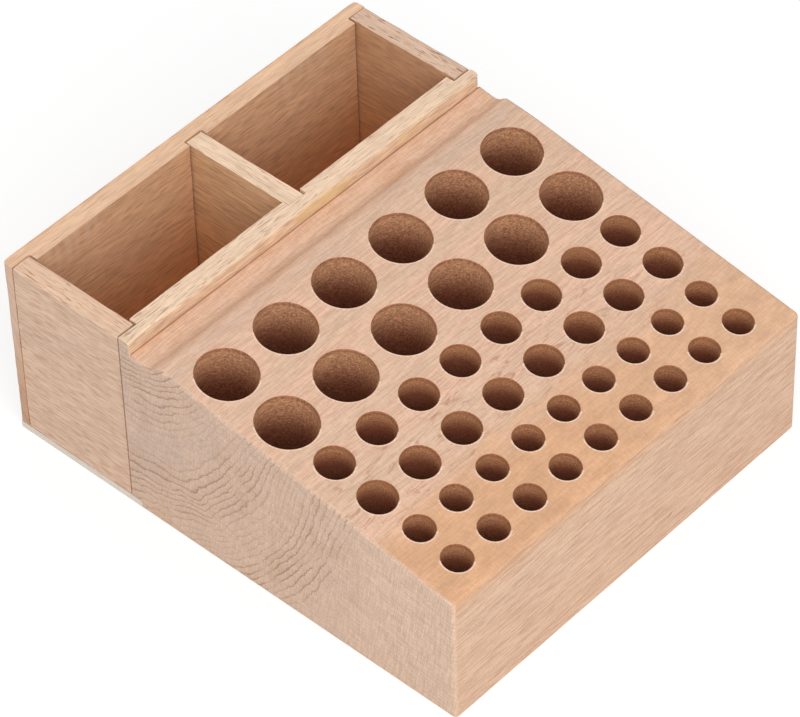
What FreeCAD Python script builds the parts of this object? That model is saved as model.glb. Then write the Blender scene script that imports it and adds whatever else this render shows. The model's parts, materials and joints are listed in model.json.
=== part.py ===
import FreeCAD, Part
import enum
import math
import os
import Sketcher

# A beech tool caddy: a drilled block with a sloping top, and a two-compartment box glued to its back.
# Millimetres. X runs along the length, +Y to the back, +Z up.
# The origin is under the middle of the whole caddy, on the surface it stands on.

Vector = FreeCAD.Vector
Constraint = Sketcher.Constraint


class Spot(enum.IntEnum):
    """Which point of a sketch element a constraint takes hold of."""

    START = 1
    END = 2
    CENTRE = 3


class Guide(enum.IntEnum):
    """The sketch's own axes; the X axis starts at the sketch's origin."""

    X_AXIS = -1
    Y_AXIS = -2


# Driving sizes: name, value, meaning
SIZES = [
    ("length", 128.4, "overall length along X"),
    ("top_slope", 9.36, "slope of the drilled top, degrees"),
    ("large_diameter", 16.0, "large holes, two rows at the back"),
    ("medium_diameter", 10.0, "medium holes, two rows in the middle"),
    ("small_diameter", 8.0, "small holes, two rows at the front"),
    ("large_web", 4.8, "wood between two large holes of a row"),
    ("medium_web", 5.0, "wood between two medium holes of a row"),
    ("small_web", 5.0, "wood between two small holes of a row"),
    ("row_web", 4.0, "wood between one row and the next"),
    ("large_to_medium_web", 3.0, "wood between the large and the medium rows"),
    ("front_web", 4.8, "wood between the front row and the front edge"),
    ("end_web", 2.5, "least wood between a hole and the end of the block"),
    ("pattern_shift", 1.2, "how far the holes sit to the left of the middle"),
    ("hole_depth", 30.0, "depth of every hole at its point, square to the top"),
    ("point_angle", 140.0, "angle of the pointed bottom of every hole, degrees"),
    ("hole_floor", 12.2, "wood left under the points of the front row of holes"),
    ("rim_chamfer", 0.3, "broken edge at the mouth of every hole"),
    ("ridge_web", 3.0, "wood from the back row to where the ridge starts to round"),
    ("step_depth", 3.55, "drop from the sloping top to the shelf behind the ridge"),
    ("step_round", 4.0, "radius of the ridge and of the hollow at its foot"),
    ("shelf_width", 4.4, "flat of the shelf, from the hollow to the front board"),
    ("edge_ease", 1.2, "rounding of the caddy's outer edges"),
    ("board_thickness", 6.0, "front, back and end boards of the box"),
    ("board_stand", 3.9, "how far the box stands above the shelf of the block"),
    ("compartment_depth", 31.5, "inside of the box from front board to back board"),
    ("housing_depth", 2.5, "depth of the rebates and grooves in the front and back boards"),
    ("rebate_gap", 0.3, "open joint between an end board and its rebate's shoulder"),
    ("divider_thickness", 5.6, "divider between the two compartments"),
    ("divider_play", 0.25, "clearance at each face of the divider in its grooves"),
    ("divider_end_play", 0.4, "clearance at each end of the divider"),
    ("divider_shift", 0.4, "how far the divider sits to the left of the middle"),
    ("divider_drop", 0.4, "how far the divider's top lies below the box's rim"),
    ("bottom_thickness", 2.0, "bottom panel of the box"),
]

# Sizes worked out from the driving ones: name, formula
DERIVED = [
    ("large_pitch", "=large_diameter + large_web"),
    ("medium_pitch", "=medium_diameter + medium_web"),
    ("small_pitch", "=small_diameter + small_web"),
    ("usable_length", "=length - 2 * end_web - 2 * pattern_shift"),
    ("large_count", "=floor((usable_length - large_diameter) / large_pitch) + 1"),
    ("medium_count", "=floor((usable_length - medium_diameter) / medium_pitch) + 1"),
    ("small_count", "=floor((usable_length - small_diameter) / small_pitch) + 1"),
    # how far the holes of a row reach along X, and where the first one is
    ("large_span", "=(large_count - 1) * large_pitch"),
    ("medium_span", "=(medium_count - 1) * medium_pitch"),
    ("small_span", "=(small_count - 1) * small_pitch"),
    ("large_first", "=large_span / 2 + pattern_shift"),
    ("medium_first", "=medium_span / 2 + pattern_shift"),
    ("small_first", "=small_span / 2 + pattern_shift"),
    # radius of each kind of hole, and depth of its straight wall above the pointed bottom
    ("large_radius", "=large_diameter / 2"),
    ("medium_radius", "=medium_diameter / 2"),
    ("small_radius", "=small_diameter / 2"),
    ("large_wall", "=hole_depth - large_radius / tan(point_angle / 2)"),
    ("medium_wall", "=hole_depth - medium_radius / tan(point_angle / 2)"),
    ("small_wall", "=hole_depth - small_radius / tan(point_angle / 2)"),
    # distances along the slope from the front edge, row by row towards the back
    ("small_row_front", "=front_web + small_diameter / 2"),
    ("small_row_back", "=small_row_front + small_diameter + row_web"),
    ("medium_row_front", "=small_row_back + (small_diameter + medium_diameter) / 2 + row_web"),
    ("medium_row_back", "=medium_row_front + medium_diameter + row_web"),
    ("large_row_front", "=medium_row_back + (medium_diameter + large_diameter) / 2 + large_to_medium_web"),
    ("large_row_back", "=large_row_front + large_diameter + row_web"),
    ("slope_run", "=large_row_back + large_diameter / 2 + ridge_web"),
    # the ridge turns down through this angle, and the hollow at its foot turns back to the slope
    ("step_turn", "=acos(1 - step_depth / (2 * step_round))"),
    ("step_run", "=2 * step_round * sin(step_turn)"),
    ("front_height", "=hole_floor + hole_depth * cos(top_slope) - small_row_front * sin(top_slope)"),
    ("back_run", "=slope_run + step_run + shelf_width"),
    ("block_depth", "=back_run * cos(top_slope) + step_depth * sin(top_slope)"),
    ("shelf_height", "=front_height + back_run * sin(top_slope) - step_depth * cos(top_slope)"),
    ("box_depth", "=compartment_depth + 2 * board_thickness"),
    ("total_depth", "=block_depth + box_depth"),
    ("board_height", "=shelf_height + board_stand - bottom_thickness"),
    ("front_y", "=-total_depth / 2"),
    ("front_board_y", "=front_y + block_depth"),
    ("back_board_y", "=front_board_y + board_thickness + compartment_depth"),
    ("rebate_width", "=board_thickness + rebate_gap"),
    ("far_rebate_start", "=length - rebate_width"),
    ("inner_cut_start", "=board_thickness - housing_depth"),
    ("groove_width", "=divider_thickness + 2 * divider_play"),
    ("groove_start", "=length / 2 - divider_shift - groove_width / 2"),
    ("end_board_length", "=compartment_depth + 2 * housing_depth"),
    ("end_board_y", "=front_board_y + inner_cut_start"),
    ("divider_length", "=end_board_length - 2 * divider_end_play"),
    ("divider_height", "=board_height - divider_drop"),
]

# Two points nearer than this are the same point
NEAR = 1e-4

# Degrees that a hole's profile is turned through
FULL_TURN = 360

doc = FreeCAD.newDocument("tool_caddy")
sheet = doc.addObject("Spreadsheet::Sheet", "Sizes")


def fill_sheet():
    """Write the driving sizes as plain numbers and the derived ones as formulas, each with its alias."""
    cells = [(name, str(value), meaning) for name, value, meaning in SIZES]
    cells += [(name, formula, "worked out") for name, formula in DERIVED]
    for row, (name, content, meaning) in enumerate(cells, start=1):
        sheet.set("A%d" % row, name)
        sheet.set("B%d" % row, content)
        sheet.set("C%d" % row, meaning)
        sheet.setAlias("B%d" % row, name)
        doc.recompute()


def size(name):
    """A size's present value as a number; angles are in degrees."""
    value = getattr(sheet, name)
    return float(getattr(value, "Value", value))


def new_body(name):
    """An empty body whose label names its piece."""
    body = doc.addObject("PartDesign::Body", name)
    body.Label = name
    doc.recompute()
    return body


def new_sketch(body, name, role, place, turn=None):
    """A sketch on one of the body's own origin planes, moved by expressions and, if asked, turned on X."""
    sketch = body.newObject("Sketcher::SketchObject", name)
    plane = next(feature for feature in body.Origin.OriginFeatures if feature.Role == role)
    sketch.AttachmentSupport = [(plane, "")]
    sketch.MapMode = "FlatFace"
    if turn:
        about_x = FreeCAD.Rotation(Vector(1, 0, 0), size(turn))
        sketch.AttachmentOffset = FreeCAD.Placement(Vector(0, 0, 0), about_x)
        sketch.setExpression("AttachmentOffset.Rotation.Angle", "Sizes." + turn)
    for axis, expression in place.items():
        sketch.setExpression("AttachmentOffset.Base." + axis, expression)
    doc.recompute()
    return sketch


def tie(sketch, kind, *picks):
    """Add a constraint that holds no size."""
    sketch.addConstraint(Constraint(kind, *picks))


def dimension(sketch, size_name, kind, *picks):
    """Add a dimension that takes its value from a size of the sheet."""
    value = size(size_name)
    if kind == "Angle":
        value = math.radians(value)
    index = sketch.addConstraint(Constraint(kind, *picks, value))
    sketch.setExpression("Constraints[%d]" % index, "Sizes." + size_name)


def add_rectangle(sketch, width, height, left=None, low=None):
    """A rectangle of named sizes; its corner is on an axis, or off it by the sizes left and low."""
    x0 = size(left) if left else 0.0
    y0 = size(low) if low else 0.0
    x1 = x0 + size(width)
    y1 = y0 + size(height)
    corners = [Vector(x0, y0, 0), Vector(x1, y0, 0), Vector(x1, y1, 0), Vector(x0, y1, 0)]
    sides = [
        sketch.addGeometry(Part.LineSegment(corners[k], corners[(k + 1) % 4])) for k in range(4)
    ]
    for k in range(4):
        tie(sketch, "Coincident", sides[k], Spot.END, sides[(k + 1) % 4], Spot.START)
    for k in (0, 2):
        tie(sketch, "Horizontal", sides[k])
        tie(sketch, "Vertical", sides[k + 1])
    dimension(sketch, width, "DistanceX", sides[0], Spot.START, sides[0], Spot.END)
    dimension(sketch, height, "DistanceY", sides[1], Spot.START, sides[1], Spot.END)
    if left:
        dimension(sketch, left, "DistanceX", Guide.X_AXIS, Spot.START, sides[0], Spot.START)
    else:
        tie(sketch, "PointOnObject", sides[0], Spot.START, Guide.Y_AXIS)
    if low:
        dimension(sketch, low, "DistanceY", Guide.X_AXIS, Spot.START, sides[0], Spot.START)
    else:
        tie(sketch, "PointOnObject", sides[0], Spot.START, Guide.X_AXIS)


def add_pad(body, sketch, height, symmetric=False):
    """Pad a sketch by a size of the sheet."""
    pad = body.newObject("PartDesign::Pad", "Pad")
    pad.Profile = sketch
    pad.Midplane = symmetric
    pad.setExpression("Length", "Sizes." + height)
    doc.recompute()
    return pad


def add_cut(body, kind, name, settings, expressions):
    """Add a feature that takes wood away, and make sure that it did."""
    before = body.Shape.Volume
    cut = body.newObject("PartDesign::" + kind, name)
    for key, value in settings.items():
        setattr(cut, key, value)
    for key, expression in expressions.items():
        cut.setExpression(key, expression)
    body.Tip = cut
    doc.recompute()
    if not body.Shape.Volume < before:
        raise RuntimeError("%s cut nothing from %s" % (name, body.Label))
    return cut


def edge_names(shape, wanted):
    """Names of the edges that pass a test."""
    return ["Edge%d" % index for index, edge in enumerate(shape.Edges, start=1) if wanted(edge)]


def all_at(points, axis, value):
    """Do all these points have this coordinate?"""
    return all(abs(getattr(point, axis) - value) < NEAR for point in points)


def at_either_end(edge):
    """Does the whole edge lie in one of the caddy's two end faces?"""
    points = [vertex.Point for vertex in edge.Vertexes]
    half_length = size("length") / 2
    return all_at(points, "x", half_length) or all_at(points, "x", -half_length)


def ease(body, name, wanted):
    """Round the chosen edges of the body's present shape."""
    edges = (body.Tip, edge_names(body.Shape, wanted))
    add_cut(body, "Fillet", name, {"Base": edges}, {"Radius": "Sizes.edge_ease"})


def block_profile(body):
    """Side view of the block: sloping top, rounded ridge, hollow and the shelf at the front board's foot."""
    sketch = new_sketch(body, "BlockProfile", "YZ_Plane", {"x": "Sizes.front_y"})
    slope = math.radians(size("top_slope"))
    turn = math.radians(size("step_turn"))
    radius = size("step_round")
    along = Vector(math.cos(slope), math.sin(slope), 0)
    across = Vector(-math.sin(slope), math.cos(slope), 0)
    leaning = Vector(math.sin(turn - slope), math.cos(turn - slope), 0)
    front_low = Vector(0, 0, 0)
    front_top = Vector(0, size("front_height"), 0)
    back_low = Vector(size("block_depth"), 0, 0)
    back_top = Vector(size("block_depth"), size("shelf_height"), 0)
    ridge_start = front_top + along * size("slope_run")
    ridge_centre = ridge_start - across * radius
    hollow_centre = ridge_centre + leaning * (2 * radius)
    hollow_end = hollow_centre - across * radius
    upright = math.pi / 2 + slope
    ridge_circle = Part.Circle(ridge_centre, Vector(0, 0, 1), radius)
    hollow_circle = Part.Circle(hollow_centre, Vector(0, 0, 1), radius)
    hollow_arc = Part.ArcOfCircle(hollow_circle, upright + math.pi - turn, upright + math.pi)
    bottom = sketch.addGeometry(Part.LineSegment(front_low, back_low))
    back = sketch.addGeometry(Part.LineSegment(back_low, back_top))
    shelf = sketch.addGeometry(Part.LineSegment(back_top, hollow_end))
    hollow = sketch.addGeometry(hollow_arc)
    ridge = sketch.addGeometry(Part.ArcOfCircle(ridge_circle, upright - turn, upright))
    top = sketch.addGeometry(Part.LineSegment(front_top, ridge_start))
    front = sketch.addGeometry(Part.LineSegment(front_top, front_low))
    tie(sketch, "Coincident", bottom, Spot.START, Guide.X_AXIS, Spot.START)
    tie(sketch, "Coincident", bottom, Spot.END, back, Spot.START)
    tie(sketch, "Coincident", back, Spot.END, shelf, Spot.START)
    tie(sketch, "Tangent", shelf, Spot.END, hollow, Spot.END)
    tie(sketch, "Tangent", hollow, Spot.START, ridge, Spot.START)
    tie(sketch, "Tangent", ridge, Spot.END, top, Spot.END)
    tie(sketch, "Coincident", top, Spot.START, front, Spot.START)
    tie(sketch, "Coincident", front, Spot.END, bottom, Spot.START)
    tie(sketch, "Horizontal", bottom)
    tie(sketch, "Vertical", back)
    tie(sketch, "Vertical", front)
    tie(sketch, "Equal", ridge, hollow)
    dimension(sketch, "front_height", "Distance", front)
    dimension(sketch, "top_slope", "Angle", top)
    dimension(sketch, "slope_run", "Distance", top)
    dimension(sketch, "step_round", "Radius", ridge)
    dimension(sketch, "block_depth", "Distance", bottom)
    dimension(sketch, "shelf_height", "Distance", back)
    dimension(sketch, "shelf_width", "Distance", shelf)
    doc.recompute()
    return sketch


def is_eased_on_block(edge):
    """The edges round the block's top, apart from its back, and the two upright edges at the front."""
    points = [vertex.Point for vertex in edge.Vertexes]
    at_front = all_at(points, "y", size("front_y"))
    at_back = all_at(points, "y", size("front_board_y"))
    at_top = all(point.z > size("front_height") - NEAR for point in points)
    if at_either_end(edge):
        return at_front or (at_top and not at_back)
    return at_front and at_top


def is_hole_rim(edge):
    """The closed edges that lie in the sloping top."""
    slope = math.radians(size("top_slope"))
    upward = Vector(0, -math.sin(slope), math.cos(slope))
    front_top = Vector(0, size("front_y"), size("front_height"))
    return edge.isClosed() and abs((edge.CenterOfMass - front_top).dot(upward)) < NEAR


def hole_profile(body, kind, side):
    """Half of a hole in side view, below its mouth in the sloping top: straight wall and pointed bottom."""
    title = kind.capitalize() + side.capitalize()
    row = "Sizes.%s_row_%s" % (kind, side)
    place = {
        "x": "-Sizes.%s_first" % kind,
        "y": "Sizes.front_height + %s * sin(Sizes.top_slope)" % row,
        "z": "-Sizes.front_y - %s * cos(Sizes.top_slope)" % row,
    }
    sketch = new_sketch(body, title + "Profile", "XZ_Plane", place, turn="top_slope")
    middle = Vector(0, 0, 0)
    rim = Vector(size(kind + "_radius"), 0, 0)
    shoulder = Vector(size(kind + "_radius"), -size(kind + "_wall"), 0)
    point = Vector(0, -size("hole_depth"), 0)
    mouth = sketch.addGeometry(Part.LineSegment(middle, rim))
    wall = sketch.addGeometry(Part.LineSegment(rim, shoulder))
    bottom = sketch.addGeometry(Part.LineSegment(shoulder, point))
    axis = sketch.addGeometry(Part.LineSegment(point, middle))
    tie(sketch, "Coincident", mouth, Spot.START, Guide.X_AXIS, Spot.START)
    tie(sketch, "Coincident", mouth, Spot.END, wall, Spot.START)
    tie(sketch, "Coincident", wall, Spot.END, bottom, Spot.START)
    tie(sketch, "Coincident", bottom, Spot.END, axis, Spot.START)
    tie(sketch, "Coincident", axis, Spot.END, mouth, Spot.START)
    tie(sketch, "Horizontal", mouth)
    tie(sketch, "Vertical", wall)
    tie(sketch, "Vertical", axis)
    dimension(sketch, kind + "_radius", "Distance", mouth)
    dimension(sketch, kind + "_wall", "Distance", wall)
    dimension(sketch, "hole_depth", "Distance", axis)
    doc.recompute()
    return sketch


def drill_row(body, kind, side):
    """One row of blind holes, square to the sloping top."""
    title = kind.capitalize() + side.capitalize()
    profile = hole_profile(body, kind, side)
    turned = {"Profile": profile, "ReferenceAxis": (profile, ["V_Axis"]), "Angle": FULL_TURN}
    hole = add_cut(body, "Groove", title + "Hole", turned, {})
    settings = {"Originals": [hole], "Direction": (profile, ["H_Axis"])}
    repeats = {"Length": "Sizes.%s_span" % kind, "Occurrences": "Sizes.%s_count" % kind}
    add_cut(body, "LinearPattern", title + "Row", settings, repeats)


def make_tool_block():
    """The solid block: profile, eased edges, three sizes of hole and the broken edges at their mouths."""
    body = new_body("tool_block")
    add_pad(body, block_profile(body), "length", symmetric=True)
    ease(body, "BlockEase", is_eased_on_block)
    for kind in ("large", "medium", "small"):
        for side in ("back", "front"):
            drill_row(body, kind, side)
    rims = (body.Tip, edge_names(body.Shape, is_hole_rim))
    add_cut(body, "Chamfer", "HoleRims", {"Base": rims}, {"Size": "Sizes.rim_chamfer"})
    return body


def make_housed_board(name, place_y, cut_low):
    """A long board of the box, rebated at both ends for the end boards and grooved for the divider."""
    body = new_body(name)
    place = {"x": "-Sizes.length / 2", "y": "Sizes." + place_y, "z": "Sizes.bottom_thickness"}
    plan = new_sketch(body, "BoardPlan", "XY_Plane", place)
    add_rectangle(plan, "length", "board_thickness")
    add_pad(body, plan, "board_height")
    cuts = new_sketch(body, "HousingPlan", "XY_Plane", place)
    add_rectangle(cuts, "rebate_width", "housing_depth", low=cut_low)
    add_rectangle(cuts, "groove_width", "housing_depth", left="groove_start", low=cut_low)
    add_rectangle(cuts, "rebate_width", "housing_depth", left="far_rebate_start", low=cut_low)
    doc.recompute()
    upwards = {"Profile": cuts, "Reversed": True}
    add_cut(body, "Pocket", "Housings", upwards, {"Length": "Sizes.board_height"})
    return body


def make_plain_board(name, place, width, depth, height):
    """A plain rectangular board standing at the given place."""
    body = new_body(name)
    plan = new_sketch(body, "BoardPlan", "XY_Plane", place)
    add_rectangle(plan, width, depth)
    add_pad(body, plan, height)
    return body


def is_back_corner(edge):
    """The two upright edges at the back of the caddy."""
    points = [vertex.Point for vertex in edge.Vertexes]
    return at_either_end(edge) and all_at(points, "y", size("total_depth") / 2)


def make_back_board():
    """The back board, with its two outer corners eased."""
    body = make_housed_board("back_board", "back_board_y", None)
    ease(body, "BackCorners", is_back_corner)
    return body


def make_end_board(name, place_x):
    """An end board, flush with the ends of the long boards and held in their rebates."""
    place = {"x": place_x, "y": "Sizes.end_board_y", "z": "Sizes.bottom_thickness"}
    return make_plain_board(name, place, "board_thickness", "end_board_length", "board_height")


def make_divider_board():
    """The loose divider, with play all round in its two grooves, standing on the bottom panel."""
    place = {
        "x": "-Sizes.divider_shift - Sizes.divider_thickness / 2",
        "y": "Sizes.end_board_y + Sizes.divider_end_play",
        "z": "Sizes.bottom_thickness",
    }
    return make_plain_board(
        "divider_board", place, "divider_thickness", "divider_length", "divider_height"
    )


def make_bottom_panel():
    """The thin panel under the whole box, level with the underside of the block."""
    place = {"x": "-Sizes.length / 2", "y": "Sizes.front_board_y"}
    body = make_plain_board("bottom_panel", place, "length", "box_depth", "bottom_thickness")
    ease(body, "BackCorners", is_back_corner)
    return body


def check_document():
    """Stop if any object of the document has failed."""
    for item in doc.Objects:
        if "Invalid" in item.State or "Error" in item.State:
            raise RuntimeError("%s failed: %s" % (item.Label, item.State))


def export(bodies):
    """Check each piece and write its solid under its own name."""
    for body in bodies:
        shape = body.Shape
        if shape.isNull() or not shape.isValid() or len(shape.Solids) != 1:
            raise RuntimeError(body.Label + " has no valid solid")
    os.makedirs("parts", exist_ok=True)
    for body in bodies:
        body.Shape.exportStep("parts/%s.step" % body.Label)
        box = body.Shape.BoundBox
        spans = (box.XMin, box.XMax, box.YMin, box.YMax, box.ZMin, box.ZMax)
        print("%-16s volume %9.1f" % (body.Label, body.Shape.Volume), ["%.2f" % v for v in spans])


fill_sheet()
pieces = [
    make_tool_block(),
    make_housed_board("front_board", "front_board_y", "inner_cut_start"),
    make_back_board(),
    make_end_board("left_end_board", "-Sizes.length / 2"),
    make_end_board("right_end_board", "Sizes.length / 2 - Sizes.board_thickness"),
    make_divider_board(),
    make_bottom_panel(),
]
doc.recompute()
check_document()
export(pieces)
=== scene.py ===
import json
import math

import bmesh
import bpy
from bpy.props import FloatProperty, FloatVectorProperty, PointerProperty
from bpy.types import Operator, Panel, PropertyGroup
from mathutils import Matrix, Quaternion, Vector


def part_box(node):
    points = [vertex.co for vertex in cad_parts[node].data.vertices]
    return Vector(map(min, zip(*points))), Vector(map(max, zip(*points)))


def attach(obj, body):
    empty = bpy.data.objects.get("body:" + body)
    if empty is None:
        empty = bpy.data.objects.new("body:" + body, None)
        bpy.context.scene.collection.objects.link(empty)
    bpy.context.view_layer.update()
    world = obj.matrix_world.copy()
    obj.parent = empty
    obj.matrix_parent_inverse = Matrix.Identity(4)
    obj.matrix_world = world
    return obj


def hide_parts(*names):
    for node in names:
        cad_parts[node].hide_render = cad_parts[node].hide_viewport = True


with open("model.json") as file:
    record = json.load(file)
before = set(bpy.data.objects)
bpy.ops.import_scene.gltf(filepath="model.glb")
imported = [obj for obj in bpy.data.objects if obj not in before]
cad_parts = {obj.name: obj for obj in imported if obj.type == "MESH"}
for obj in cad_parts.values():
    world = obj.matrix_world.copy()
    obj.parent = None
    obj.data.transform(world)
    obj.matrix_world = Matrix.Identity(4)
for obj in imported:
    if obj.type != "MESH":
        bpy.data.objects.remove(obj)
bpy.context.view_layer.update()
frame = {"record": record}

bl_info = {
    "name": "Beech tool caddy",
    "version": (1, 0, 0),
    "blender": (4, 5, 0),
    "location": "3D View > Sidebar > Caddy",
    "description": "Builds a drilled beech block with a two-compartment box glued to its back",
    "category": "Add Mesh",
}

# Metres. X runs along the length, +Y to the back, +Z up, as in the frame.
MM = 0.001
NEAR = 0.02 * MM
BLOCK_LOW, BLOCK_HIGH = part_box("tool_block")
FRONT_LOW, FRONT_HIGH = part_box("front_board")
BACK_LOW, BACK_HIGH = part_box("back_board")
DIVIDER_LOW, DIVIDER_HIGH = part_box("divider_board")
BORES = [mount for mount in frame["record"]["mounts"] if mount["kind"] == "bore"]
UPWARD = Vector(BORES[0]["axis"]).normalized()
ALONG = Vector((0, UPWARD.z, -UPWARD.y))
TILT = math.atan2(UPWARD.y, UPWARD.z)
WIDEST = max(bore["dims"]["r_mm"] for bore in BORES)
HOLE_SIDES = 64

# Direction of the holes' front left side, towards the camera, where a pale highlight is painted on their
# rims
HIGHLIGHT_SIDE = Vector((-0.72, -0.69))

# Places in the wood's pattern, in millimetres.
# Y and Z of the rings' middle, for the rings near it and for those far from it
HEART_NEAR = (31.8, 69.0)
HEART_FAR = (40.7, 56.6)
RING_PITCH = 1.85
# Y and Z of a point on the line of dents through the rings, and the direction across that line
DENT_START = (25.7, 28.5)
DENT_ACROSS = (0.588, -0.809)
# Y of the smooth front strip's border, the ridge and the crack at the front board's foot, where a dark line
# of shade is painted
FRONT_ZONE = -47.0
RIDGE_LINE = 19.0
SEAM_SHADE_LINE = 30.5
# X, Z and slope of a speck on the front face
SPECK = (15.2, 6.85, 0.63)
# start, end and pitch along X of each row of a blade's marks
CHATTER = ((-57.0, -36.0, 3.4), (28.0, 47.0, 4.6))
# start and end along X of each glue stain, and its strength
GLUE_STAINS = ((-4.0, 14.0, 0.65), (33.0, 42.0, 0.35))

# How plainly the rings show, by the distance from their middle in millimetres
RING_BANDS = (
    (10, 0.95), (32, 0.90), (39, 0.35), (46, 0.15), (51, 0.90), (59, 0.85),
    (64, 0.30), (71, 0.40), (77, 1.0), (86, 0.85), (90, 0.0),
)


def length(name, millimetres, description):
    """A length property; its default is given in millimetres."""
    return FloatProperty(
        name=name, description=description, default=millimetres * MM, min=0, precision=5,
        subtype="DISTANCE", unit="LENGTH",
    )


def angle(name, degrees, description):
    """An angle property; its default is given in degrees."""
    return FloatProperty(
        name=name, description=description, default=math.radians(degrees), subtype="ANGLE",
        unit="ROTATION",
    )


def colour(name, red, green, blue, description):
    """A colour property."""
    return FloatVectorProperty(
        name=name, description=description, default=(red, green, blue), min=0, max=1, size=3,
        subtype="COLOR",
    )


def plain(name, value, description):
    """A property that is a plain number."""
    return FloatProperty(name=name, description=description, default=value, min=0)


class CaddyShape(PropertyGroup):
    """Sizes of the block and the boards that the frame's boxes don't give."""

    rim: length("Hole rim", 0.3, "Rounding at the mouth of every hole")
    # Painted highlight: width of the pale ring on the side of each hole's rim towards the camera
    rim_highlight_width: length("Worn rim", 0.25, "Width of the pale worn ring at the front of every hole")
    point_angle: angle("Hole point", 140.0, "Angle of the pointed bottom of every hole")
    step_depth: length("Step", 3.55, "Drop from the drilled top to the shelf behind the ridge")
    step_round: length("Step rounding", 4.0, "Radius of the ridge and of the hollow at its foot")
    step_turn: angle("Step angle", 56.2, "How far the ridge turns down from the drilled top")
    shelf_width: length("Shelf", 4.4, "Flat of the shelf, from the hollow to the front board")
    sanded_run: length("Sanded run", 17.5, "How far in front of the shelf the right end is sanded down")
    sanded_depth: length("Sanded depth", 1.3, "How much the sanding takes off the ridge at its right end")
    sanded_length: length("Sanded length", 52.0, "How far the sanding of the ridge reaches from the right")
    edge_ease: length("Eased edges", 1.2, "Rounding of the outer edges")
    corner_ease: length("Eased corner", 1.7, "Rounding of the front board's right corner")
    board_ease: length("Eased board edges", 0.9, "Rounding of the boards' outer top edges")
    soft_edge: length("Soft edges", 0.22, "Sanding of the edges where two pieces meet")
    joint_gap: length("Joint gap", 0.22, "Open crack between the end boards and the front board")
    wander: length("Wandering edges", 0.3, "How far the boards' sawn edges wander")
    wander_length: length("Wander length", 5.0, "Size of the waves in the wandering edges")
    wander_slice: length("Wander slices", 3.0, "Distance between the points of a wandering edge")
    housing_depth: length("Housing depth", 2.5, "Depth of the rebates and grooves in the long boards")
    rebate_width: length("Rebate width", 6.3, "Width of the rebates that hold the end boards")
    divider_play: length("Divider play", 0.4, "Clearance at one face of the divider in each groove")
    divider_seat: length("Divider seat", 0.06, "Clearance at its other face and its ends")


class CaddyFinish(PropertyGroup):
    """Colours of the wood, some of them painted shade and painted highlights."""

    top_pink: colour("Top", 0.80, 0.515, 0.365, "Sanded beech, pinkish")
    top_beige: colour("Top bands", 0.735, 0.505, 0.36, "Duller bands in the sanded top")
    top_yellow: colour("Front strip", 0.72, 0.405, 0.225, "Smooth yellower wood along the low front edge")
    top_gold: colour("Front strip, right", 0.75, 0.455, 0.28, "The same strip towards its right end")
    cove: colour("Cove", 0.82, 0.53, 0.37, "Pink-orange wood behind the ridge")
    # Painted shade: the greyish colour along the ridge stands in for the shade at the step
    ridge: colour("Ridge", 0.56, 0.41, 0.33, "Greyish streak along the ridge")
    front_face: colour("Front face", 0.745, 0.502, 0.35, "Front of the block")
    streak: colour("Pores", 0.44, 0.22, 0.13, "Brown pores along the grain")
    end_tan: colour("End grain", 0.70, 0.495, 0.37, "Tan wood of the sawn ends")
    end_lilac: colour("End grain, grey", 0.625, 0.455, 0.36, "Greyer patches of the sawn ends")
    end_pale: colour("End grain, front", 0.71, 0.50, 0.37, "Paler front part of the sawn ends")
    end_brown: colour("End grain, back board", 0.58, 0.36, 0.23, "Browner ends of the back board")
    ring: colour("Rings", 0.33, 0.205, 0.15, "Dark ring lines in the sawn ends")
    hole_mouth: colour("Holes, near the mouth", 0.64, 0.34, 0.185, "Drilled wood near the mouth")
    hole_narrow: colour("Narrow holes", 0.59, 0.29, 0.14, "Wood near the mouth of a narrow hole")
    # Painted highlight: the pale colour of the rims on the side towards the camera
    rim_painted_highlight: colour("Hole rims", 0.92, 0.70, 0.54, "Pale worn rim of a hole")
    smudge: colour("Smudges", 0.50, 0.25, 0.16, "Reddish smudges on the top")
    # Painted shade: this colour deep in the holes and right under their rims stands in for the shade there
    hole_painted_shade: colour("Holes, deep down", 0.31, 0.105, 0.053, "Scorched wood deep in the holes")
    board: colour("Boards", 0.74, 0.52, 0.38, "Outer faces of the box")
    board_yellow: colour("Front of the box", 0.84, 0.60, 0.41, "Yellower face of the front board")
    board_cream: colour("Cream board edges", 0.91, 0.67, 0.48, "Tops of the front board and the divider")
    board_pink: colour("Pink board edges", 0.86, 0.565, 0.37, "Top of the back board")
    board_tan: colour("Tan board edges", 0.86, 0.585, 0.41, "Top of the left end board")
    board_grey: colour("Grey board edges", 0.76, 0.53, 0.39, "Rough top of the right end board")
    # Painted shade: the inner faces of the box get a darker, more saturated copy of the board colour
    inside: colour("Inside faces", 0.73, 0.44, 0.255, "Unsanded inner faces")
    # Painted shade, less of it: a lighter copy of the inner faces' colour for the divider
    inside_lighter_shade: colour("Inside, divider", 0.77, 0.49, 0.275, "Lighter faces of the divider")
    # Painted bounce light: an orange glow on the inner faces, growing towards the bottom of the box
    inside_painted_bounce: colour("Inside faces, low", 0.83, 0.385, 0.155, "Inner faces towards the bottom")
    # Painted shade, more of it: a darker, browner copy for the right end board's inner face
    inside_right_painted_shade: colour("Inside, right", 0.64, 0.37, 0.205, "Browner inner face of the right end board")
    fleck: colour("Flecks", 0.30, 0.13, 0.065, "Crisp dark dashes in the boards")
    glue: colour("Glue stain", 0.80, 0.56, 0.25, "Dried glue on the front board")
    panel: colour("Bottom panel", 0.75, 0.67, 0.585, "Pale thin panel under the box")
    panel_inside: colour("Bottom panel, inside", 0.72, 0.60, 0.49, "Its browner upper face")


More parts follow.
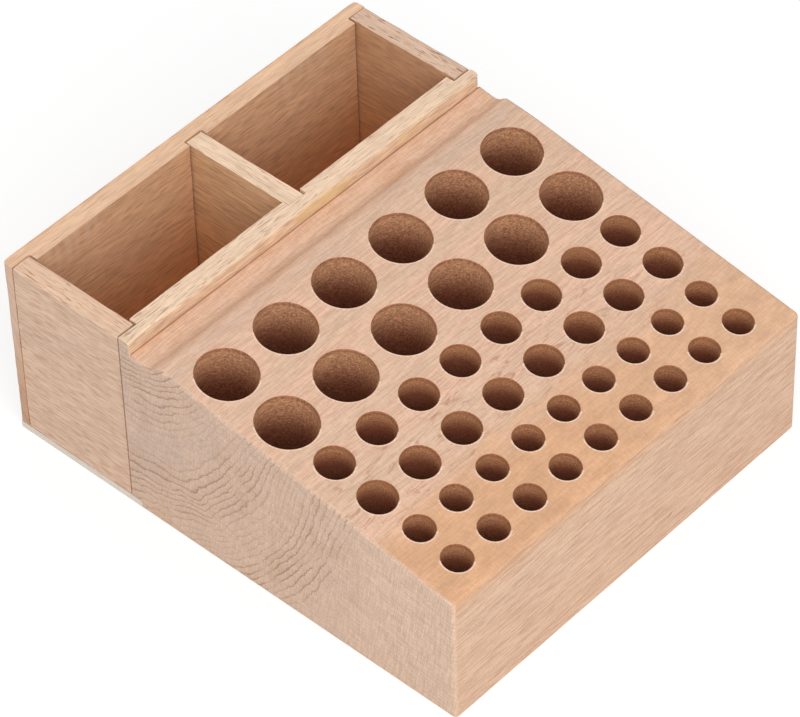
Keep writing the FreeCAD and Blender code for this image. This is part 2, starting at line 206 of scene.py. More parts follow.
class CaddyStage(PropertyGroup):
    """Camera, floor and light."""

    aim: FloatVectorProperty(
        name="Aim", description="Point that the camera looks at", default=(-0.0102, -0.0083, 0.0375),
        size=3, subtype="TRANSLATION", unit="LENGTH",
    )
    distance: length("Distance", 1155.5, "From the camera to the point it looks at")
    azimuth: angle("Azimuth", -46.463, "Direction of the camera round the caddy")
    elevation: angle("Elevation", 45.425, "Height of the camera above the horizon")
    roll: angle("Roll", -1.883, "Turn of the camera about its own line of sight")
    lens: plain("Focal length", 211.32, "Millimetres, on a sensor 36 mm wide")
    sky: plain("Sky", 0.66, "Strength of the even white light from all round")
    lamp: plain("Lamp", 8.5, "Power of the large soft lamp in watts")
    lamp_size: length("Lamp size", 1000.0, "Width of the lamp")
    lamp_place: FloatVectorProperty(
        name="Lamp place", description="Where the lamp hangs", default=(-0.55, -0.75, 0.85), size=3,
        subtype="TRANSLATION", unit="LENGTH",
    )
    floor_size: length("Floor size", 12000.0, "Width of the floor")
    floor: colour("Floor", 0.85, 0.85, 0.85, "White floor, as it lights the caddy")
    floor_seen: colour("Floor, seen", 0.45, 0.45, 0.45, "The floor's own colour where the camera sees it")
    floor_glow: plain("Floor glow", 0.62, "White added to the floor where the camera sees it")


def leave_edit_mode():
    """Go back to object mode with nothing selected."""
    if bpy.context.object and bpy.context.object.mode != "OBJECT":
        bpy.ops.object.mode_set(mode="OBJECT")
    bpy.ops.object.select_all(action="DESELECT")


def use_only(piece):
    """Select one object and make it the active one."""
    leave_edit_mode()
    piece.select_set(True)
    bpy.context.view_layer.objects.active = piece


def apply_place(piece):
    """Put the object's place, turn and scale into its mesh."""
    use_only(piece)
    bpy.ops.object.transform_apply(location=True, rotation=True, scale=True)


def add_slab(name, low, high):
    """A box between two corners, as a start for a board."""
    leave_edit_mode()
    low, high = Vector(low), Vector(high)
    bpy.ops.mesh.primitive_cube_add(size=1, location=(low + high) / 2, scale=high - low)
    piece = bpy.context.object
    piece.name = piece.data.name = name
    apply_place(piece)
    return piece


def add_sheet(name, low, high, normal):
    """A flat rectangle between two corners, square to the given axis, as a start for an outline."""
    piece = add_slab(name, low, high)
    edit(piece)
    pick(piece, "FACE", lambda face: face.normal[normal] > -0.9)
    bpy.ops.mesh.delete(type="FACE")
    return piece


def edit(piece):
    """Enter edit mode on one object with all of it selected."""
    use_only(piece)
    bpy.ops.object.mode_set(mode="EDIT")
    bpy.ops.mesh.select_all(action="SELECT")


def pick(piece, kind, wanted):
    """In edit mode, select only the vertices, edges or faces that pass a test."""
    bpy.ops.mesh.select_mode(type=kind)
    bpy.ops.mesh.select_all(action="DESELECT")
    mesh = bmesh.from_edit_mesh(piece.data)
    parts = {"VERT": mesh.verts, "EDGE": mesh.edges, "FACE": mesh.faces}[kind]
    for part in parts:
        if wanted(part):
            part.select_set(True)
    mesh.select_flush_mode()
    bmesh.update_edit_mesh(piece.data)


def points_of(edge):
    """The places of an edge's two ends."""
    return [vertex.co for vertex in edge.verts]


def on_side(edge, axis, place):
    """Does an edge lie on a side, given as an axis and the side's place along it?"""
    return all(abs(point[axis] - place) < NEAR for point in points_of(edge))


def cut(place, normal, drop=False):
    """Cut the selected faces with a plane, and if asked drop what lies on the side that it faces."""
    bpy.ops.mesh.bisect(plane_co=place, plane_no=normal, clear_outer=drop, threshold=1e-7)


def cut_all(place, normal, drop=False):
    """Cut the whole mesh, as cut does the selected faces."""
    bpy.ops.mesh.select_all(action="SELECT")
    cut(place, normal, drop)


def slice_along(axis, low, high, step):
    """Cut the whole mesh across an axis at even distances."""
    normal = Vector((0, 0, 0))
    normal[axis] = 1
    count = round((high - low) / step)
    for k in range(1, count):
        cut_all(normal * (low + (high - low) * k / count), normal)


def bevel(offset, segments):
    """Round the selected edges."""
    bpy.ops.mesh.bevel(offset=offset, segments=segments, profile=0.5, affect="EDGES")


def merge_flat():
    """Join neighbouring faces that lie in one plane."""
    bpy.ops.mesh.select_all(action="SELECT")
    bpy.ops.mesh.dissolve_limited(angle_limit=math.radians(0.1))


def face_outwards():
    """Merge doubled points and point all faces outwards."""
    bpy.ops.mesh.select_all(action="SELECT")
    bpy.ops.mesh.remove_doubles(threshold=1e-6)
    bpy.ops.mesh.normals_make_consistent(inside=False)


def apply_modifier(piece, kind, **settings):
    """Add one modifier and apply it at once."""
    use_only(piece)
    modifier = piece.modifiers.new(kind.title(), kind)
    for name, value in settings.items():
        setattr(modifier, name, value)
    bpy.ops.object.modifier_apply(modifier=modifier.name)


def smooth(piece):
    """Shade round edges smooth and keep flat faces flat."""
    use_only(piece)
    bpy.ops.object.shade_smooth_by_angle(angle=math.radians(40))
    apply_modifier(piece, "WEIGHTED_NORMAL", keep_sharp=True)


def keep_inside(piece, low, high):
    """Move any point that lies outside a box back to its side."""
    for vertex in piece.data.vertices:
        for axis in range(3):
            vertex.co[axis] = min(max(vertex.co[axis], low[axis]), high[axis])


def wander(piece, low, high, shape, still):
    """Let a board's edges wander inwards, as sawn edges do, apart from the sides that stay still."""
    edit(piece)
    for axis in range(3):
        slice_along(axis, low[axis], high[axis], shape.wander_slice)
    leave_edit_mode()
    held = [
        (vertex.index, axis, place)
        for axis, place in still
        for vertex in piece.data.vertices
        if abs(vertex.co[axis] - place) < NEAR
    ]
    unevenness = bpy.data.textures.new(piece.name + "_unevenness", "CLOUDS")
    unevenness.noise_scale = shape.wander_length
    unevenness.noise_depth = 1
    apply_modifier(
        piece, "DISPLACE", texture=unevenness, texture_coords="LOCAL", strength=shape.wander,
        mid_level=1.0,
    )
    for index, axis, place in held:
        piece.data.vertices[index].co[axis] = place
    keep_inside(piece, low, high)


def hand_over(piece, node, body, slot_name, *materials):
    """Give a finished piece its materials, and let it stand for its node and ride on its body."""
    for material in materials:
        piece.data.materials.append(material)
    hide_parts(node)
    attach(piece, body)


class Quantity:
    """A number, place or colour that varies over a surface; sums of numbers add steps to its material."""

    def __init__(self, finish, socket):
        self.finish = finish
        self.socket = socket

    def __add__(self, other):
        return self.finish.maths("ADD", self, other)

    def __sub__(self, other):
        return self.finish.maths("SUBTRACT", self, other)

    def __rsub__(self, other):
        return self.finish.maths("SUBTRACT", other, self)

    def __mul__(self, other):
        return self.finish.maths("MULTIPLY", self, other)

    def __truediv__(self, other):
        return self.finish.maths("DIVIDE", self, other)

    def __abs__(self):
        return self.finish.maths("ABSOLUTE", self)

    def fraction(self):
        """What a number has beyond its whole part."""
        return self.finish.maths("FRACT", self)

    def hypotenuse(self, other):
        """Length of the longest side over two others."""
        return self.finish.maths("SQRT", self * self + other * other)

    def ramp(self, low, high, start=0.0, end=1.0):
        """A smooth rise from one level to another."""
        inputs = {"Value": self, 1: low, 2: high, 3: start, 4: end}
        return self.finish.step("MapRange", inputs, {"interpolation_type": "SMOOTHSTEP"})

    def between(self, low, high, soft):
        """A share that is full between two levels and fades out beyond them."""
        return self.ramp(low - soft, low + soft) * self.ramp(high + soft, high - soft)

    def strayed(self, noise, reach):
        """A coordinate that strays to both sides by a noise around its middle."""
        return self + (noise - 0.5) * reach

    def graph(self, points, reach):
        """A level read off a graph through a few points, along a given reach."""
        node = self.finish.tree.nodes.new("ShaderNodeValToRGB")
        self.finish.put(self / reach, node.inputs[0])
        stops = node.color_ramp.elements
        while len(stops) < len(points):
            stops.new(1.0)
        for stop, (distance, level) in zip(stops, points):
            stop.position = distance / reach
            stop.color = (level, level, level, 1)
        return Quantity(self.finish, node.outputs["Color"])

    def parts(self):
        """The three coordinates of a place."""
        node = self.finish.tree.nodes.new("ShaderNodeSeparateXYZ")
        self.finish.put(self, node.inputs[0])
        return [Quantity(self.finish, socket) for socket in node.outputs]

    def tilted(self, turn):
        """A place turned about X."""
        return self.finish.step("Mapping", {"Vector": self, "Rotation": (turn, 0, 0)})

    def noise(self, scale, detail, roughness=0.5, distortion=0.0):
        """Soft noise; the scale is how many of its cells go into a millimetre along each axis."""
        inputs = {
            "Vector": self.finish.step("VectorMath", {0: self, 1: scale}, {"operation": "MULTIPLY"}),
            "Scale": 1.0, "Detail": detail, "Roughness": roughness, "Distortion": distortion,
        }
        return self.finish.step("TexNoise", inputs)


class Finish:
    """A material under construction: most methods add a step and return its output."""

    def __init__(self, name):
        self.material = bpy.data.materials.new(name)
        self.material.use_nodes = True
        self.tree = self.material.node_tree
        self.tree.nodes.clear()
        output = self.tree.nodes.new("ShaderNodeOutputMaterial")
        self.shader = self.tree.nodes.new("ShaderNodeBsdfPrincipled")
        self.tree.links.new(self.shader.outputs[0], output.inputs["Surface"])

    def put(self, value, socket):
        """Link a quantity to a socket, or set the socket to a plain value."""
        if isinstance(value, Quantity):
            self.tree.links.new(value.socket, socket)
        elif socket.type == "RGBA" and len(value) == 3:
            socket.default_value = (*value, 1)
        else:
            socket.default_value = value

    def step(self, kind, inputs, settings=None, output=0):
        """Add a node, fill its inputs by number or name, and return one of its outputs."""
        node = self.tree.nodes.new("ShaderNode" + kind)
        for name, value in (settings or {}).items():
            setattr(node, name, value)
        for key, value in inputs.items():
            self.put(value, node.inputs[key])
        return Quantity(self, node.outputs[output])

    def maths(self, operation, *values):
        """One sum, product or other operation on numbers."""
        return self.step("Math", dict(enumerate(values)), {"operation": operation})

    def place(self, turn=0.0, shift=(0, 0, 0)):
        """Place in millimetres with the grain along X."""
        inputs = {
            "Vector": self.step("TexCoord", {}, output="Object"), "Location": shift,
            "Rotation": (0, 0, turn), "Scale": (1 / MM,) * 3,
        }
        return self.step("Mapping", inputs)

    def normal(self, axis):
        """How far the surface faces along one of the object's axes, from -1 to 1."""
        return self.step("TexCoord", {}, output="Normal").parts()[axis]

    def facing(self, axis, sign):
        """How far the surface faces one way along one of the object's axes, as a soft share."""
        return (self.normal(axis) * sign).ramp(0.4, 0.9)

    def endwise(self):
        """A soft share of the surfaces that face along X, as the sawn ends do."""
        return abs(self.normal(0)).ramp(0.35, 0.85)

    def mix(self, share, first, second, blend="MIX"):
        """Mix two colours."""
        settings = {"data_type": "RGBA", "blend_type": blend}
        return self.step("Mix", {0: share, 6: first, 7: second}, settings, 2)

    def tone(self, base, noise, amount):
        """Lighten and darken a colour by a noise around its middle."""
        level = noise.ramp(0.25, 0.75, 1 - amount, 1 + amount)
        grey = self.step("CombineColor", {0: level, 1: level, 2: level})
        return self.mix(1.0, base, grey, "MULTIPLY")

    def complete(self, base, roughness, height, depth):
        """Wire colour, roughness and relief into the shader."""
        self.put(base, self.shader.inputs["Base Color"])
        self.put(roughness, self.shader.inputs["Roughness"])
        self.shader.inputs["Specular IOR Level"].default_value = 0.25
        bump = self.step("Bump", {"Height": height, "Distance": depth, "Strength": 1.0})
        self.put(bump, self.shader.inputs["Normal"])
        return self.material


def grain(place):
    """Patterns along the grain, each from 0 to 1: broad bands, fine lines and thin pores."""
    band = place.noise((0.008, 0.16, 0.16), 3, 0.55)
    line = place.noise((0.06, 1.0, 1.0), 3, 0.6)
    pore = place.noise((0.20, 3.7, 3.7), 0)
    return band, line, pore.ramp(0.50, 0.63)


def ring_radius(place):
    """Distance from the heart of the tree that the rings on the block's ends bend round, in millimetres."""
    _, y, z = place.parts()
    near = y - HEART_NEAR[0], z - HEART_NEAR[1]
    share = near[0].hypotenuse(near[1]).ramp(20.0, 80.0)
    far = [side + share * (start - end) for side, start, end in zip(near, HEART_NEAR, HEART_FAR)]
    swell = place.noise((0.01, 0.045, 0.045), 1)
    ripple = place.noise((0.01, 0.26, 0.26), 1)
    jagged = place.noise((0.01, 1.1, 1.1), 1)
    radius = far[0].hypotenuse(far[1]) + swell * 7.5 + ripple * 1.5 + jagged * 0.7
    # a row of small dents runs down through the rings
    off_line = (y - DENT_START[0]) * DENT_ACROSS[0] + (z - DENT_START[1]) * DENT_ACROSS[1]
    return radius - abs(off_line).ramp(5.0, 0.0) * z.between(11.0, 31.0, 2.0)


def end_grain(wood, place, look):
    """Sawn end of the block: dark ring lines over a weave of rays and pores, plainest at the front."""
    _, y, _ = place.parts()
    radius = ring_radius(place)
    patch = place.noise((0.02, 0.05, 0.05), 2)
    grey = patch.ramp(0.36, 0.60, 0.35, 1.0) * radius.ramp(66.0, 40.0, 0.35, 1.0)
    base = wood.mix(grey, look.end_tan, look.end_lilac)
    square = place.tilted(TILT)
    rays = square.noise((0.3, 0.16, 3.4), 0)
    pores = square.noise((0.3, 3.4, 0.20), 0)
    smear = place.noise((0.02, 0.11, 0.11), 3, 0.6)
    base = wood.mix(smear.ramp(0.52, 0.70, 0.0, 0.40), base, look.end_brown)
    base = wood.tone(wood.tone(base, rays, 0.065), pores, 0.065)
    front = wood.tone(wood.tone(look.end_pale, rays, 0.09), pores, 0.09)
    base = wood.mix(y.ramp(FRONT_ZONE + 10.0, FRONT_ZONE - 6.0), base, front)
    pace = wood.step("CombineXYZ", {0: radius}).noise((0.12, 0, 0), 2)
    phase = (radius / RING_PITCH + pace * 2.0).fraction()
    line = phase.ramp(0.66, 0.90) * phase.ramp(1.0, 0.90)
    shade = phase.ramp(0.0, 0.9) * phase.ramp(1.0, 0.93)
    broken = place.noise((0.05, 0.12, 0.12), 3).ramp(0.36, 0.54, 0.30, 1.0)
    plainness = broken * radius.graph(RING_BANDS, 100.0)
    base = wood.mix(shade * plainness * 0.45, base, look.end_brown)
    base = wood.mix(line * plainness * 0.85, base, look.ring)
    fuzz = place.noise((2.2, 2.2, 2.2), 1)
    return wood.tone(base, fuzz, 0.09), rays + pores


def block_finish(look):
    """Sanded beech with the grain along X and ringed end grain on the two ends."""
    wood = Finish("block_beech")
    place = wood.place()
    x, y, z = place.parts()
    band, line, pore = grain(place)
    upward = wood.normal(2).ramp(0.2, 0.6)
    forward = wood.normal(1).ramp(-0.80, -0.98)
    base = wood.mix(band.ramp(0.36, 0.64), look.top_pink, look.top_beige)
    # smooth strip along the low front edge, with a soft wandering border
    border = y.strayed(place.noise((0.04, 0.12, 0.12), 3, 0.6), 20)
    strip = border.ramp(FRONT_ZONE + 3.0, FRONT_ZONE - 9.0, 0.0, 0.9) * upward
    # pink-orange cove and shelf with flames and dark lines, and painted shade along the ridge before them:
    # a greyish band broken up by the grain lines
    base = wood.mix(y.ramp(RIDGE_LINE - 1.0, RIDGE_LINE + 5.0, 0.0, 0.85), base, look.cove)
    drifting = y.strayed(place.noise((0.035, 0.1, 0.1), 3, 0.6), 14)
    ridge = drifting.between(RIDGE_LINE - 3.0, RIDGE_LINE, 2.0) * line.ramp(0.35, 0.65, 0.1, 0.5)
    base = wood.mix(ridge, base, look.ridge)
    behind = y.ramp(RIDGE_LINE, RIDGE_LINE + 3.0)
    flame = place.noise((0.05, 0.22, 0.22), 3, 0.6, 1.0)
    base = wood.mix(flame.ramp(0.52, 0.66, 0.0, 0.5) * behind, base, look.top_yellow)
    base = wood.mix(line.ramp(0.50, 0.70, 0.0, 0.28) * behind, base, look.streak)
    base = wood.tone(base, line, 0.07)
    blotch = place.noise((0.12, 0.2, 0.2), 3, 0.6)
    yellow = wood.mix(x.ramp(-20.0, 55.0), look.top_yellow, look.top_gold)
    base = wood.mix(strip, base, wood.tone(yellow, blotch, 0.12))
    edge = slope_point(0).z / MM
    face = wood.mix(z.ramp(edge - 6.0, edge, 0.0, 0.7), look.front_face, yellow)
    base = wood.mix(forward, base, wood.tone(face, line, 0.03))
    across = place.noise((2.2, 0.7, 0.7), 2)
    base = wood.tone(base, across, 0.06)
    # reddish smudges behind the smooth strip
    smudge = place.noise((0.17, 0.6, 0.6), 4, 0.65, 0.8).ramp(0.54, 0.68, 0.0, 0.7)
    zone = y.between(FRONT_ZONE - 4.0, FRONT_ZONE + 20.0, 7.0) * upward * x.ramp(60.0, 20.0, 0.5, 1.0)
    base = wood.mix(smudge * zone, base, look.smudge)
    # finer and crisper pores on the front face
    fine = place.noise((0.16, 4.8, 4.8), 1)
    pore = forward.ramp(0.0, 1.0, pore, fine.ramp(0.51, 0.60))
    base = wood.mix(pore * (forward * 0.25 + 0.27 - strip * 0.12), base, look.streak)
    # painted shade: a dark line in the crack at the front board's foot; and one slanting speck on the front
    # face
    base = wood.mix(y.ramp(SEAM_SHADE_LINE - 0.25, SEAM_SHADE_LINE) * upward * 0.75, base, look.fleck)
    aside = x - SPECK[0]
    off_line = z - SPECK[1] - aside * SPECK[2]
    speck = abs(aside).ramp(1.0, 0.6) * abs(off_line).ramp(0.35, 0.1) * forward
    base = wood.mix(speck * 0.7, base, look.fleck)
    sawn, weave = end_grain(wood, place, look)
    base = wood.mix(wood.endwise(), base, sawn)
    return wood.complete(base, line.ramp(0.3, 0.7, 0.56, 0.70), weave * 0.3 - pore, 0.03 * MM)


def hole_finish(look):
    """Rough browner wood where the drill went, with painted shade that darkens it deep down and right under
    the rim.
    """
    wood = Finish("drilled_beech")
    place = wood.place()
    square = place.tilted(TILT)
    _, along, level = square.parts()
    mouth = slope_point(0).dot(UPWARD) / MM
    rows = [(Vector(bore["pos_m"]).dot(ALONG) / MM, bore["dims"]["r_mm"]) for bore in BORES]
    narrow_end = max(row + radius for row, radius in rows if radius < WIDEST)
    wide_start = min(row - radius for row, radius in rows if radius == WIDEST)
    wide = along.ramp(narrow_end, wide_start)
    # painted shade: the wood is darkest from 7.2 mm down in the narrow holes and from 16 mm down in the
    # wide ones
    depth = (mouth - level) / (wide * 8.8 + 7.2)
    mouth_wood = wood.mix(wide, look.hole_narrow, look.hole_mouth)
    base = wood.mix(depth.ramp(0.0, 1.0), mouth_wood, look.hole_painted_shade)
    # painted shadow: the wall is darkened right under the rim
    base = wood.mix(level.ramp(mouth - 2.0, mouth - 0.3, 0.0, 0.6), base, look.hole_painted_shade)
    # torn fibres in the wide holes, fine rings in the others
    torn = place.noise((0.28, 1.6, 1.6), 3, 0.65)
    rings = square.noise((0.10, 0.10, 4.0), 1)
    base = wood.mix(wide, wood.tone(base, rings, 0.14), wood.tone(base, torn, 0.36))
    fuzz = place.noise((1.6, 2.6, 2.6), 1)
    return wood.complete(wood.tone(base, fuzz, 0.26), 0.85, torn * wide + fuzz, 0.12 * MM)


def rim_highlight_finish(look):
    """Painted pale highlight on the rims along the front left side of the holes."""
    wood = Finish("hole_rim_beech")
    fuzz = wood.place().noise((1.6, 2.6, 2.6), 1)
    base = wood.mix(fuzz.ramp(0.35, 0.65), look.rim_painted_highlight, look.top_pink)
    return wood.complete(base, 0.7, fuzz, 0.03 * MM)


def board_finish(look, name, turn, shift, colours, flecks, inner_sides, marks=()):
    """Beech of the box: grain along X before the turn, colours for its sides and top, painted shade for its
    inside, and marks.
    """
    wood = Finish(name)
    side, top, inside = colours
    place = wood.place(turn, shift)
    band, line, pore = grain(place)
    _, _, z = wood.place().parts()
    inner = wood.facing(*inner_sides[0])
    for other_side in inner_sides[1:]:
        inner = wood.maths("MAXIMUM", inner, wood.facing(*other_side))
    upward = wood.facing(2, 1)
    base = wood.mix(upward, side, top)
    # painted shade: faces towards the inside of the box get a darker copy of the wood, with painted orange
    # bounce light growing towards the bottom
    base = wood.mix(inner, base, wood.mix(z.ramp(46.0, 8.0), inside, look.inside_painted_bounce))
    base = wood.tone(base, band, 0.05)
    base = wood.tone(base, line, 0.09)
    base = wood.mix(pore * (0.50 - upward * 0.28), base, look.streak)
    dash = place.noise((0.30, 3.4, 3.4), 0).ramp(0.65, 0.71, 0.0, 0.85)
    patch = place.noise((0.05, 0.2, 0.2), 2).ramp(0.36, 0.60, 0.45, 1.0)
    amount = upward.ramp(0.0, 1.0, 0.3, flecks)
    base = wood.mix(dash * patch * amount, base, look.fleck)
    for mark in marks:
        base = mark(wood, base, look)
    return wood.complete(base, line.ramp(0.3, 0.7, 0.58, 0.74), pore * -1.0, 0.03 * MM)


def outer_ends(wood):
    """A soft share of a long board's outer ends."""
    x, _, _ = wood.place().parts()
    return abs(x).ramp(62.0, 63.0) * wood.endwise()


def ringed_ends(wood, base, look):
    """Sawn ends of the front board, ringed as the block's are."""
    sawn, _ = end_grain(wood, wood.place(), look)
    return wood.mix(outer_ends(wood), base, sawn)


def brown_ends(wood, base, look):
    """Sawn ends of the back board, browner low down, with slanting strokes."""
    place = wood.place()
    _, _, z = place.parts()
    stroke = place.tilted(math.radians(-55)).noise((0.3, 0.2, 1.3), 2).ramp(0.45, 0.62)
    sawn = wood.mix(z.ramp(4.0, 40.0), look.end_brown, look.end_pale)
    sawn = wood.mix(stroke * z.ramp(10.0, 45.0, 0.5, 0.2), sawn, look.streak)
    return wood.mix(outer_ends(wood), base, sawn)


def glue_stain(wood, base, look):
    """Dried glue that ran out on the front of the front board."""
    place = wood.place()
    x, _, _ = place.parts()
    ragged = place.noise((0.30, 0.3, 0.7), 3)
    along = x.strayed(ragged, 10)
    for start, end, strength in GLUE_STAINS:
        thickness = ragged.ramp(0.30, 0.65, 0.4 * strength, strength)
        share = along.between(start, end, 2.0) * wood.facing(1, -1) * thickness
        base = wood.mix(share, base, look.glue)
    return base


def chatter_marks(wood, base, look):
    """Short rows of pale marks that a blade left along the top of the back board's inner face."""
    place = wood.place()
    x, _, z = place.parts()
    ragged = place.noise((0.2, 0.2, 0.2), 2)
    high_up = (z - ragged * 8.0).ramp(42.0, 52.0, 0.0, 0.35)
    for start, end, pitch in CHATTER:
        row = (x / pitch + ragged).fraction().between(0.25, 0.75, 0.15)
        share = x.between(start, end, 2.0) * row * high_up * wood.facing(1, -1)
        base = wood.mix(share, base, look.board)
    return base


def panel_finish(look):
    """Pale pressed panel, browner on its upper face."""
    wood = Finish("panel_board")
    fibre = wood.place().noise((0.8, 2.5, 2.5), 3, 0.6)
    base = wood.mix(wood.facing(2, 1), look.panel, look.panel_inside)
    return wood.complete(wood.tone(base, fibre, 0.12), 0.75, fibre, 0.06 * MM)


def slope_point(from_front, below=0.0):
    """A point of the block's side view, by its distance along the slope and below it."""
    bore = BORES[0]
    shape = bpy.context.scene.caddy_shape
    half = bore["dims"]["length_mm"] * MM / 2
    mouth = Vector(bore["pos_m"]) + UPWARD * (half + shape.rim)
    mouth.x = 0
    front = mouth - ALONG * ((mouth.y - BLOCK_LOW.y) / ALONG.y)
    return front + ALONG * from_front - UPWARD * below


class CADDY_OT_tool_block(Operator):
    """Model the drilled block"""

    bl_idname = "caddy.tool_block"
    bl_label = "Tool block"

    def execute(self, context):
        shape = context.scene.caddy_shape
        look = context.scene.caddy_finish
        block = self.outline(shape)
        self.round_step(block)
        self.sand_ridge(block, shape)
        self.round_edges(block, shape)
        sanded = block_finish(look)
        cutters = self.drill(shape, [hole_finish(look), rim_highlight_finish(look), sanded])
        block.data.materials.append(sanded)
        apply_modifier(
            block, "BOOLEAN", object=cutters, operation="DIFFERENCE", solver="EXACT",
            material_mode="TRANSFER",
        )
        bpy.data.objects.remove(cutters)
        smooth(block)
        hand_over(block, "tool_block", "caddy", "block_beech")
        return {"FINISHED"}

    def outline(self, shape):
        """Side view with the sloping top and the step down to the shelf, drawn out along X."""
        headroom = Vector((0, 0, 5 * MM))
        block = add_sheet("block", BLOCK_LOW, BLOCK_HIGH + headroom, 0)
        cut_all(slope_point(0), UPWARD, drop=True)
        turn = shape.step_turn
        tangent = shape.step_round * math.tan(turn / 2)
        back_run = (BLOCK_HIGH.y - BLOCK_LOW.y - shape.step_depth * -UPWARD.y) / ALONG.y
        foot = slope_point(back_run - shape.shelf_width - tangent, shape.step_depth)
        leaning = ALONG * math.sin(turn) + UPWARD * math.cos(turn)
        cut_all(foot, leaning)

        def behind(face):
            return (face.calc_center_median() - foot).dot(leaning) > 0

        def above_shelf(face):
            return behind(face) and (face.calc_center_median() - foot).dot(UPWARD) > 0

        pick(block, "FACE", behind)
        cut(foot, UPWARD)
        pick(block, "FACE", above_shelf)
        bpy.ops.mesh.delete(type="FACE")
        merge_flat()
        bpy.ops.mesh.select_all(action="SELECT")
        bpy.ops.mesh.extrude_region_move(
            TRANSFORM_OT_translate={"value": (BLOCK_HIGH.x - BLOCK_LOW.x, 0, 0)}
        )
        face_outwards()
        self.step_foot = foot
        self.step_leaning = leaning
        self.step_tangent = tangent
        return block

    def round_step(self, block):
        """Round the ridge and the hollow at its foot."""
        foot, leaning = self.step_foot, self.step_leaning

        def in_step(edge):
            level = [abs((point - foot).dot(leaning)) < NEAR for point in points_of(edge)]
            lengthwise = abs(edge.verts[0].co.x - edge.verts[1].co.x) > 10 * MM
            return all(level) and lengthwise

        pick(block, "EDGE", in_step)
        # the two roundings stay just short of each other
        bevel(self.step_tangent * 0.98, 6)

    def sand_ridge(self, block, shape):
        """Sand the ridge down a little towards its right end."""
        front = slope_point(0)
        shelf = (self.step_foot - front).dot(ALONG) + self.step_tangent
        start = shelf - shape.sanded_run

        def faces_up(face):
            return face.normal.dot(UPWARD) > 0.3

        cuts = 8
        for k in range(cuts):
            pick(block, "FACE", faces_up)
            cut(front + ALONG * (start + shape.sanded_run * k / cuts), ALONG)
        for k in range(cuts):
            pick(block, "FACE", faces_up)
            x = BLOCK_HIGH.x - shape.sanded_length * (1 - k / cuts)
            cut((x, 0, 0), (1, 0, 0))
        mesh = bmesh.from_edit_mesh(block.data)
        for vertex in mesh.verts:
            run = ((vertex.co - front).dot(ALONG) - start) / shape.sanded_run
            share = 1 - (BLOCK_HIGH.x - vertex.co.x) / shape.sanded_length
            below = (front - vertex.co).dot(UPWARD)
            if 0 < run < 1 and share > 0 and below < shape.step_depth:
                sanded = shape.sanded_depth * run * run * share * share * (3 - 2 * share)
                vertex.co -= UPWARD * max(0, sanded - below)
        bmesh.update_edit_mesh(block.data)

    def round_edges(self, block, shape):
        """Round the outer edges."""
        front_top = slope_point(0).z

        def outer(edge):
            at_front = on_side(edge, 1, BLOCK_LOW.y)
            at_top = all(point.z > front_top - NEAR for point in points_of(edge))
            if on_side(edge, 0, BLOCK_LOW.x) or on_side(edge, 0, BLOCK_HIGH.x):
                return at_front or (at_top and not on_side(edge, 1, BLOCK_HIGH.y))
            return at_front and at_top

        pick(block, "EDGE", outer)
        bevel(shape.edge_ease, 4)
        pick(block, "EDGE", lambda edge: on_side(edge, 2, BLOCK_LOW.z))
        bevel(shape.soft_edge, 2)
        leave_edit_mode()

    def drill(self, shape, materials):
        """A cutter for each width of hole, copied to every bore and joined."""
        masters = {}
        copies = []
        turn = Vector((0, 0, 1)).rotation_difference(UPWARD).to_matrix().to_4x4()
        for bore in BORES:
            radius, depth = bore["dims"]["r_mm"] * MM, bore["dims"]["length_mm"] * MM
            if radius not in masters:
                masters[radius] = self.cutter(radius, depth, shape, materials)
            copy = masters[radius].copy()
            copy.data = masters[radius].data.copy()
            bpy.context.scene.collection.objects.link(copy)
            copy.matrix_world = Matrix.Translation(Vector(bore["pos_m"]) + UPWARD * depth / 2) @ turn
            copies.append(copy)
        for master in masters.values():
            bpy.data.objects.remove(master)
        leave_edit_mode()
        for copy in copies:
            copy.select_set(True)
        bpy.context.view_layer.objects.active = copies[0]
        bpy.ops.object.join()
        joined = bpy.context.object
        apply_place(joined)
        return joined

    def cutter(self, radius, depth, shape, materials):
        """A round cutter with a point below and a flare above, and the flare's foot at its origin."""
        leave_edit_mode()
        point = radius / math.tan(shape.point_angle / 2)
        bpy.ops.mesh.primitive_cone_add(
            vertices=HOLE_SIDES, radius1=0, radius2=radius, depth=point, location=(0, 0, -depth - point / 2)
        )
        piece = bpy.context.object
        apply_place(piece)
        edit(piece)
        pick(piece, "FACE", lambda face: face.normal.z > 0.9)
        self.raise_ring(depth, 1)
        steps = 4
        height, reach = 0.0, 0.0
        for k in range(1, steps + 1):
            bend = math.pi / 2 * k / steps
            new_height = (shape.rim - NEAR) * math.sin(bend)
            new_reach = shape.rim * (1 - math.cos(bend))
            self.raise_ring(new_height - height, (radius + new_reach) / (radius + reach))
            height, reach = new_height, new_reach
        # a flat ring that carries the painted highlight at the rim
        highlit = radius + reach + shape.rim_highlight_width
        self.raise_ring(0.0, highlit / (radius + reach))
        self.raise_ring(4 * shape.rim, 1)
        face_outwards()
        leave_edit_mode()
        for material in materials:
            piece.data.materials.append(material)
        # the painted highlight on the rim takes up a little less than half of the circle, on the side
        # towards the camera
        for face in piece.data.polygons:
            front = face.center.xy.dot(HIGHLIGHT_SIDE) > 0.2 * face.center.xy.length
            if face.center.z > NEAR and front:
                face.material_index = 1
            elif face.center.z > shape.rim - 2 * NEAR:
                face.material_index = 2
            else:
                face.material_index = 0
        return piece

    def raise_ring(self, height, widening):
        """Draw the selected top up and widen it."""
        bpy.ops.mesh.extrude_region_move(TRANSFORM_OT_translate={"value": (0, 0, height)})
        bpy.ops.transform.resize(value=(widening, widening, 1))


